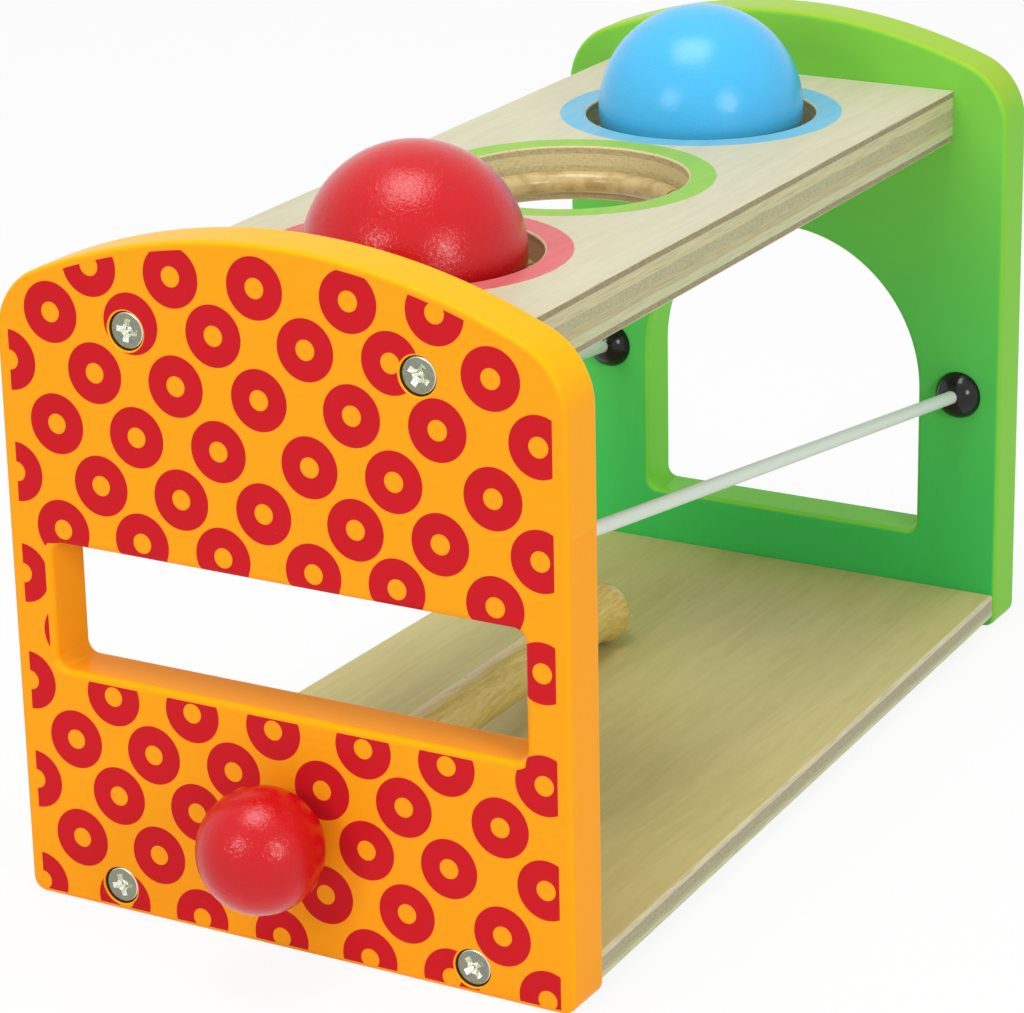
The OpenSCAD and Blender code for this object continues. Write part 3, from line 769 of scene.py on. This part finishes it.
def ball_lacquer(name, colour, deep, roughness, wrinkle):
    """A turned wooden ball dipped in gloss lacquer: a strong even colour and clear highlights, which the
    relief of the open-pored wood below breaks up into fine wrinkles. The pores are drawn coarser than real
    ones, which would be too fine to show."""
    made, tree, shader, place = material(name, Roughness=roughness, IOR=1.5, Specular_IOR_Level=0.33)
    cloud = add(tree, "TexNoise", {"Vector": place, "Scale": 0.05, "Detail": 2})
    colour = add(tree, "Mix", {0: cloud, A: linear(colour), B: linear(deep)}, BLEND, data_type="RGBA")
    pores = add(tree, "TexNoise", {"Vector": place, "Scale": 1.4, "Detail": 3, "Roughness": 0.6,
                                   "Distortion": 0.8})
    swell = add(tree, "TexNoise", {"Vector": place, "Scale": 0.12, "Detail": 1})
    height = add(tree, "Math", {0: swell, 1: 1.6, 2: pores}, operation="MULTIPLY_ADD")
    surface(tree, shader, colour, height, relief=0.1, strength=wrinkle)
    return made


def turned_wood():
    """Beech turned and sanded, with a thin clear coat: pale and warm, with short brown flecks along the
    grain, which show as brown dots on the knob's end grain. The flecks are drawn coarser than real ones,
    which would be too fine to show."""
    made, tree, shader, place = material("beech_turned_clear_coat", Roughness=0.34, IOR=1.48,
                                         Specular_IOR_Level=0.3)
    turn = (lean, 0, -yaw)
    grain = add(tree, "Mapping", {"Vector": place, "Rotation": turn, "Scale": (1.3, 0.05, 1.3)})
    grain = add(tree, "TexNoise", {"Vector": grain, "Scale": 1.0, "Detail": 5, "Roughness": 0.6,
                                   "Distortion": 0.6})
    flecks = add(tree, "Mapping", {"Vector": place, "Rotation": turn, "Scale": (1.1, 0.22, 1.1)})
    flecks = add(tree, "TexNoise", {"Vector": flecks, "Scale": 1.0, "Detail": 3, "Roughness": 0.7})
    bands = add(tree, "MapRange", {0: grain, LOW: 0.3, HIGH: 0.75}, **SMOOTH)
    spots = add(tree, "MapRange", {0: flecks, LOW: 0.6, HIGH: 0.72, TO_HIGH: 0.6}, **SMOOTH)
    colour = add(tree, "Mix", {0: bands, A: linear("#D8C274"), B: linear("#C2A454")}, BLEND, data_type="RGBA")
    colour = add(tree, "Mix", {0: spots, A: colour, B: linear("#946E3A")}, BLEND, data_type="RGBA")
    surface(tree, shader, colour, grain, relief=0.04, strength=0.6)
    return made


def amber_rubber():
    """Extruded clear amber rubber cord: wet-looking, warm where light passes through, with slight ripples."""
    made, tree, shader, place = material(
        "rubber_cord_amber", Roughness=0.28, IOR=1.52, Subsurface_Weight=0.25, Subsurface_Scale=2 * MM,
        Subsurface_Radius=(1.0, 0.6, 0.25))
    ripple = add(tree, "TexNoise", {"Vector": place, "Scale": 0.35, "Detail": 3})
    depth = add(tree, "MapRange", {0: ripple, LOW: 0.35, HIGH: 0.7}, **SMOOTH)
    colour = add(tree, "Mix", {0: depth, A: linear("#C8B27A"), B: linear("#AE955C")}, BLEND, data_type="RGBA")
    surface(tree, shader, colour, ripple, relief=0.12, strength=0.5)
    return made


def white_rail():
    """Steel rod with a white powder coat: off-white, slightly pebbled, low gloss."""
    made, tree, shader, place = material("steel_rod_powder_coated", Roughness=0.4, Specular_IOR_Level=0.3)
    pebble = add(tree, "TexNoise", {"Vector": place, "Scale": 2.5, "Detail": 2})
    colour = add(tree, "Mix", {0: pebble, A: linear("#D8E2D6"), B: linear("#CEDACC")}, BLEND,
                 data_type="RGBA")
    surface(tree, shader, colour, pebble, relief=0.02, strength=0.5)
    return made


def black_plastic():
    """Injection-moulded polypropylene: near black, glossy, with faint flow marks."""
    made, tree, shader, place = material("polypropylene_moulded_black", Roughness=0.16, IOR=1.49,
                                         Specular_IOR_Level=0.35)
    flow = add(tree, "TexNoise", {"Vector": place, "Scale": 0.4, "Detail": 2})
    colour = add(tree, "Mix", {0: flow, A: linear("#131313"), B: linear("#1A1918")}, BLEND, data_type="RGBA")
    surface(tree, shader, colour, flow, relief=0.04, strength=0.4)
    return made


def zinc():
    """Cold-headed steel, zinc plated: grey with a slightly green and brown cast, satin and a little uneven,
    with painted highlights, near white, on the facets of the cross recess and on the rim."""
    made, tree, shader, place = material("steel_screw_zinc_plated", Metallic=1.0)
    cast = add(tree, "TexNoise", {"Vector": place, "Scale": 1.2, "Detail": 4, "Roughness": 0.6})
    tone = add(tree, "MapRange", {0: cast, LOW: 0.3, HIGH: 0.7}, **SMOOTH)
    colour = add(tree, "Mix", {0: tone, A: linear("#949A82"), B: linear("#8A8882")}, BLEND, data_type="RGBA")
    facing = add(tree, "SeparateXYZ", {0: add(tree, "NewGeometry", output="Normal")}, 1)
    facing = add(tree, "Math", {0: facing}, operation="ABSOLUTE")
    # Painted highlight: faces that turn away from the screw's axis, the recess's facets and the rim, go near
    # white.
    painted_glint = add(tree, "MapRange", {0: facing, LOW: 0.96, HIGH: 0.88}, **SMOOTH)
    colour = add(tree, "Mix", {0: painted_glint, A: colour, B: linear("#EEF0E4")}, BLEND, data_type="RGBA")
    rough = add(tree, "Math", {0: cast, 1: 0.14, 2: 0.2}, operation="MULTIPLY_ADD")
    tree.links.new(rough, shader.inputs["Roughness"])
    surface(tree, shader, colour, cast, relief=0.05, strength=0.6)
    return made


TOP_PLIES = [(0.0, "#D8D0A8", 0.0), (0.035, "#988E6C", 1.0), (0.135, "#CDC699", 0.0),
             (0.345, "#B5B189", 1.0), (0.53, "#BDB588", 0.0), (0.70, "#C8CA9E", 0.15),
             (0.865, "#998E6E", 1.0), (0.965, "#D8D0A8", 0.0)]
BASE_PLIES = [(0.0, "#D6CDAC", 0.0), (0.2, "#AEA584", 1.0), (0.6, "#B9B68C", 0.4), (0.74, "#CDD1A6", 0.0)]
STAIN_COLOURS = [("#D0595F", "#D4676B"), ("#88BA38", "#90C23C"), ("#62B2D2", "#74B8D2")]
stains = [(y, one, other) for y, (one, other) in zip(HOLE_YS, STAIN_COLOURS)]

orange = printed_panel()
green = green_panel()
top_ply = plywood("birch_plywood_matt_lacquer", TOP_PLIES, BOARD_Z - BOARD_T, BOARD_T, "#CFCAAC", "#C8C2A3",
                  stains)
base_ply = plywood("birch_plywood_thin", BASE_PLIES, BASE_Z, BASE_T, "#CFC384", "#C6BA7A")
red = ball_lacquer("red_lacquer_dipped", "#CC0D18", "#C20C17", roughness=0.15, wrinkle=1.0)
blue = ball_lacquer("blue_lacquer_dipped", "#4CBAEE", "#44B4EC", roughness=0.2, wrinkle=0.6)
beech, rubber, powder, plastic, plate = turned_wood(), amber_rubber(), white_rail(), black_plastic(), zinc()

dressed = {"front_panel": (front_panel, orange, "orange_lacquered_wood", "bench"),
           "back_panel": (back_panel, green, "green_lacquered_wood", "bench"),
           "top_board": (top_board, top_ply, "birch_plywood", "bench"),
           "base_board": (base_board, base_ply, "birch_plywood", "bench"),
           "red_ball": (red_ball, red, "red_lacquer", "red_ball"),
           "blue_ball": (blue_ball, blue, "blue_lacquer", "blue_ball"),
           "mallet_head": (mallet_head, red, "red_lacquer", "mallet"),
           "mallet_handle": (mallet_handle, beech, "turned_wood", "mallet")}
for pieces, look, slot in ((grips, rubber, "amber_rubber"), (rails, powder, "white_rail"),
                           (caps, plastic, "black_cap"), (screws, plate, "zinc_screw")):
    dressed.update({node: (piece, look, slot, "bench") for node, piece in pieces.items()})
for node, (piece, look, slot, body) in dressed.items():
    piece.data.materials.clear()
    piece.data.materials.append(look)
    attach(piece, body)
    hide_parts(node)

# ---------------------------------------------------------------- studio
WHITE = (1, 1, 1, 1)
PAPER = (0.85, 0.85, 0.85, 1)
FLOOR_GLOW = 0.9         # part of the floor's look that is plain white; the rest is paper that takes shadow
WORLD_LIGHT = 0.5        # what the white surroundings give the bench


def seen_white(tree):
    """1 where the camera looks straight, by gloss or through a piece, and 0 for light on matt surfaces."""
    path = add(tree, "LightPath").node.outputs
    seen = add(tree, "Math", {0: path["Is Glossy Ray"], 1: path["Is Transmission Ray"]}, operation="MAXIMUM")
    return add(tree, "Math", {0: seen, 1: path["Is Camera Ray"]}, operation="MAXIMUM")


activate()
bpy.ops.mesh.primitive_plane_add(size=8, location=(0, 0, -0.2 * MM))
floor = named("studio_floor")
paper = bpy.data.materials.new("studio_paper_white")
paper.use_nodes = True
tree = paper.node_tree
tree.nodes.remove(tree.nodes["Principled BSDF"])
matt = add(tree, "BsdfDiffuse", {"Color": PAPER})
glow = add(tree, "Emission", {"Color": WHITE, "Strength": 1.0})
share = add(tree, "Math", {0: seen_white(tree), 1: FLOOR_GLOW}, operation="MULTIPLY")
blend = add(tree, "MixShader", {0: share, 1: matt, 2: glow})
tree.links.new(blend, tree.nodes["Material Output"].inputs["Surface"])
floor.data.materials.append(paper)

world = bpy.data.worlds.new("studio")
bpy.context.scene.world = world
world.use_nodes = True
tree = world.node_tree
background = tree.nodes["Background"]
strength = add(tree, "Math", {0: seen_white(tree), 1: 1 - WORLD_LIGHT, 2: WORLD_LIGHT},
               operation="MULTIPLY_ADD")
tree.links.new(strength, background.inputs["Strength"])
background.inputs["Color"].default_value = WHITE


def softbox(name, way, distance, width, height, power, roll=0):
    """A rectangular lamp, in metres and watts, that looks at the middle of the bench, turned about its own
    axis by roll degrees."""
    middle = Vector((0, 0, 0.09))
    activate()
    bpy.ops.object.light_add(type="AREA", location=middle + Vector(way).normalized() * distance)
    lamp = bpy.context.object
    lamp.name = name
    lamp.data.shape = "RECTANGLE"
    lamp.data.size, lamp.data.size_y = width, height
    lamp.data.energy = power
    look = (-Vector(way)).to_track_quat("-Z", "Y")
    lamp.rotation_euler = (look @ Quaternion((0, 0, 1), math.radians(roll))).to_euler()


softbox("overhead", (-0.03, -0.175, 0.985), distance=1.15, width=0.64, height=0.6, power=8.0, roll=29)
softbox("left_front", (-0.175, -0.905, 0.388), distance=1.3, width=0.26, height=0.32, power=2.9)
softbox("right_front", (0.837, -0.456, 0.303), distance=1.3, width=0.28, height=0.34, power=4.1)

# The photograph's own view, from the fit of the bench's edges, holes and screws. The place is in metres,
# with y from the front panel's face.
CAMERA_PLACE = (0.37383, -0.56736 + FRONT_Y * MM, 0.33385)
CAMERA_AHEAD, CAMERA_RIGHT = (-0.4655, 0.81853, -0.33663), (0.87245, 0.48834, -0.019)
LENS = 134.947           # millimetres, on a sensor 36 mm wide
camera = new_object("camera", bpy.data.cameras.new("camera"))
camera.data.sensor_width = 36
camera.data.lens = LENS
camera.data.clip_end = 20
ahead, right = Vector(CAMERA_AHEAD).normalized(), Vector(CAMERA_RIGHT).normalized()
up = right.cross(ahead).normalized()
right = ahead.cross(up)
camera.matrix_world = Matrix.Translation(CAMERA_PLACE) @ Matrix((right, up, -ahead)).transposed().to_4x4()
bpy.context.scene.camera = camera
bpy.context.scene.view_settings.view_transform = "Standard"
